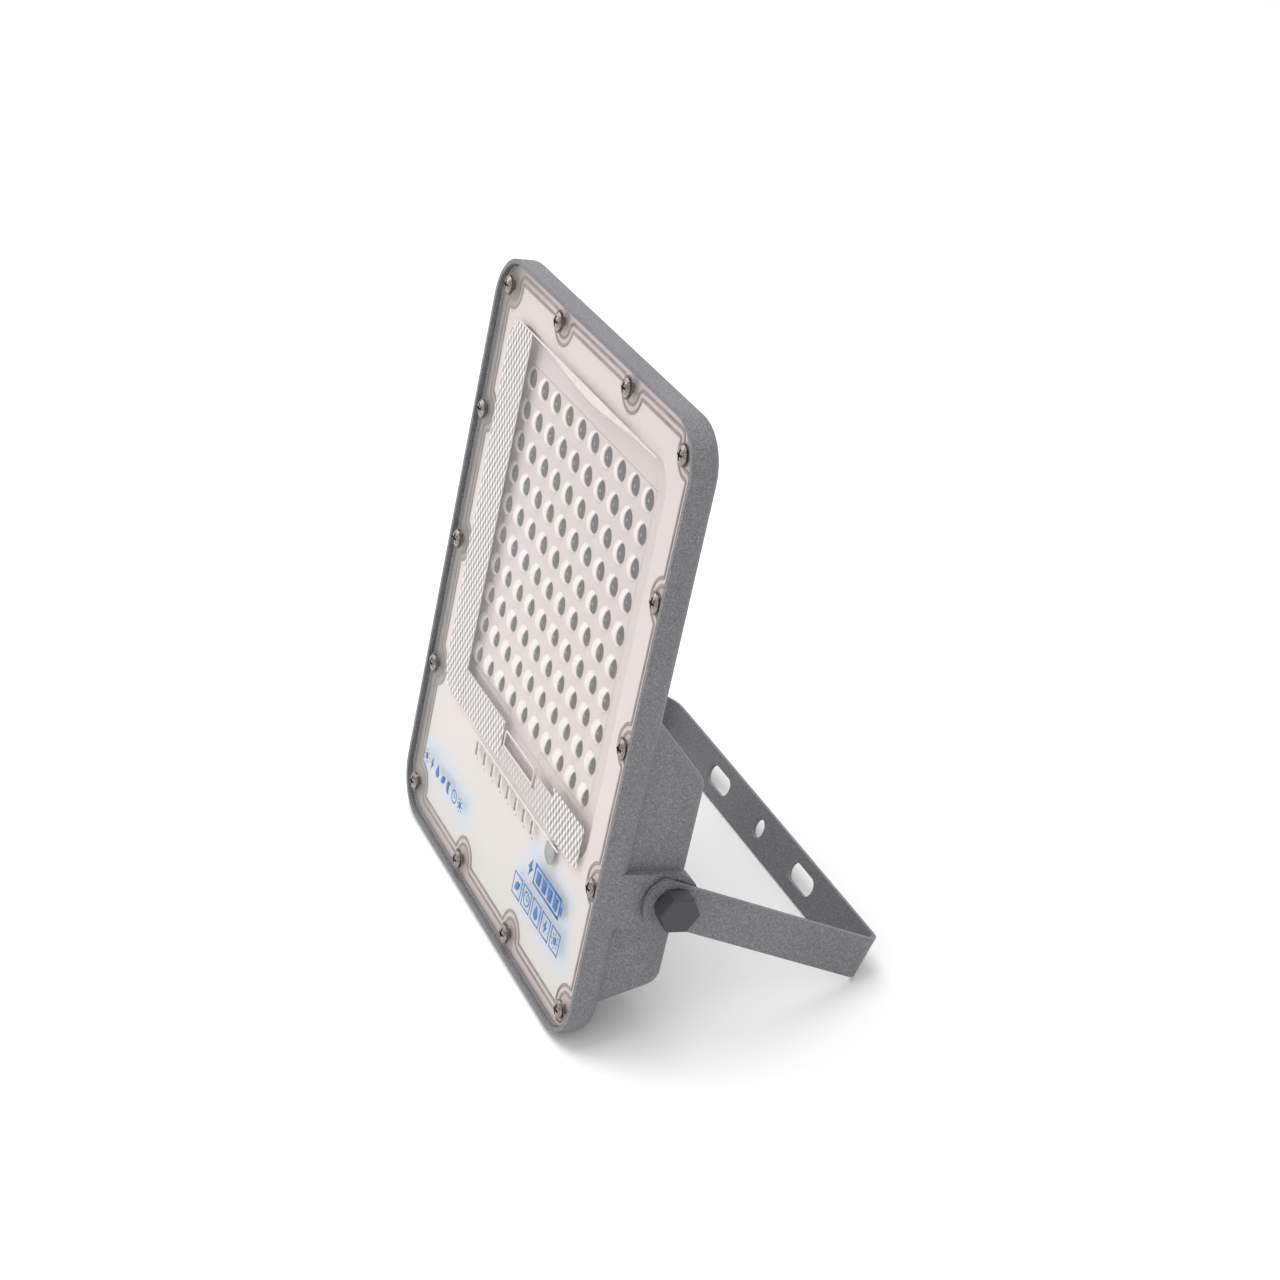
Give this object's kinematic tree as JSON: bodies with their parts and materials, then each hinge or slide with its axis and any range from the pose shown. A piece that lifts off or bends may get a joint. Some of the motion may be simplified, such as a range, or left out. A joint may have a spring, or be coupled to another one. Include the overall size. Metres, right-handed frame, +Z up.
{
  "type": "solar flood light",
  "caption": "Rectangular LED flood light head with a battery box, on a bent-strip bracket that tilts and stands it up like an easel.",
  "frame": {"origin": "middle of the bounding box on the floor that the lamp stands on", "axes": "+X to the right of the lit face, +Y to the back, +Z up; the lit face looks towards -Y and leans back"},
  "size_m": [0.24, 0.1438, 0.2656],
  "materials": {
    "grey_powder_coat": "fine sand-texture powder coat, matt",
    "silicone": "translucent white silicone",
    "clear_cover": "clear moulded polycarbonate",
    "clear_lens": "clear moulded lens plate",
    "nickel_steel": "nickel-plated steel",
    "dark_steel": "dark zinc-plated steel",
    "white_plastic": "white moulded plastic",
    "white_board": "white solder mask",
    "led_yellow": "phosphor-filled silicone",
    "thermal_grey": "soft thermal pad",
    "bare_aluminium": "bare sheet",
    "black_rubber": "soft black",
    "black_plastic": "black nylon",
    "grey_window": "smoked grey window",
    "cell_wrap": "blue shrink wrap",
    "foam": "closed-cell foam",
    "green_board": "green solder mask",
    "copper_choke": "enamelled copper winding",
    "red_lead": "red insulation",
    "cap_plastic": "blue-black moulded cap"
  },
  "bodies": {
    "bracket": {"bracket": "grey_powder_coat"},
    "head": {"housing": "grey_powder_coat", "cover_gasket": "silicone", "front_cover": "clear_cover", "cover_screws": "nickel_steel", "lens_plate": "clear_lens", "reflector_frame": "white_plastic", "led_board": "white_board", "led_chips": "led_yellow", "thermal_pad": "thermal_grey", "led_board_screws": "nickel_steel", "tray_plate": "bare_aluminium", "tray_screws": "nickel_steel", "lead_grommets": "black_rubber", "indicator_board": "white_board", "indicator_leds": "led_yellow", "remote_receiver": "black_plastic", "sensor_window": "grey_window", "battery_cells": "cell_wrap", "cell_holders": "black_plastic", "cell_straps": "nickel_steel", "foam_pads": "foam", "protection_board": "green_board", "controller_board": "green_board", "controller_screws": "nickel_steel", "choke": "copper_choke", "capacitors": "black_plastic", "power_transistors": "black_plastic", "controller_chip": "black_plastic", "lead_sockets": "white_plastic", "led_leads": "black_rubber", "indicator_lead": "black_rubber", "battery_lead_red": "red_lead", "battery_lead_black": "black_rubber", "gland_body": "black_plastic", "gland_locknut": "black_plastic", "gland_seal": "black_rubber", "gland_nut": "black_plastic", "vent_plug": "black_plastic", "friction_washers": "nickel_steel", "plain_washers": "nickel_steel", "tilt_bolts": "dark_steel", "bolt_caps": "cap_plastic"}
  },
  "joints": [
    {"name": "head_tilt", "type": "hinge", "parent": "bracket", "child": "head", "pos_m": [0, -0.02251, 0.06323], "axis": [1, 0, 0], "range_deg": [-110, 224]}
  ]
}
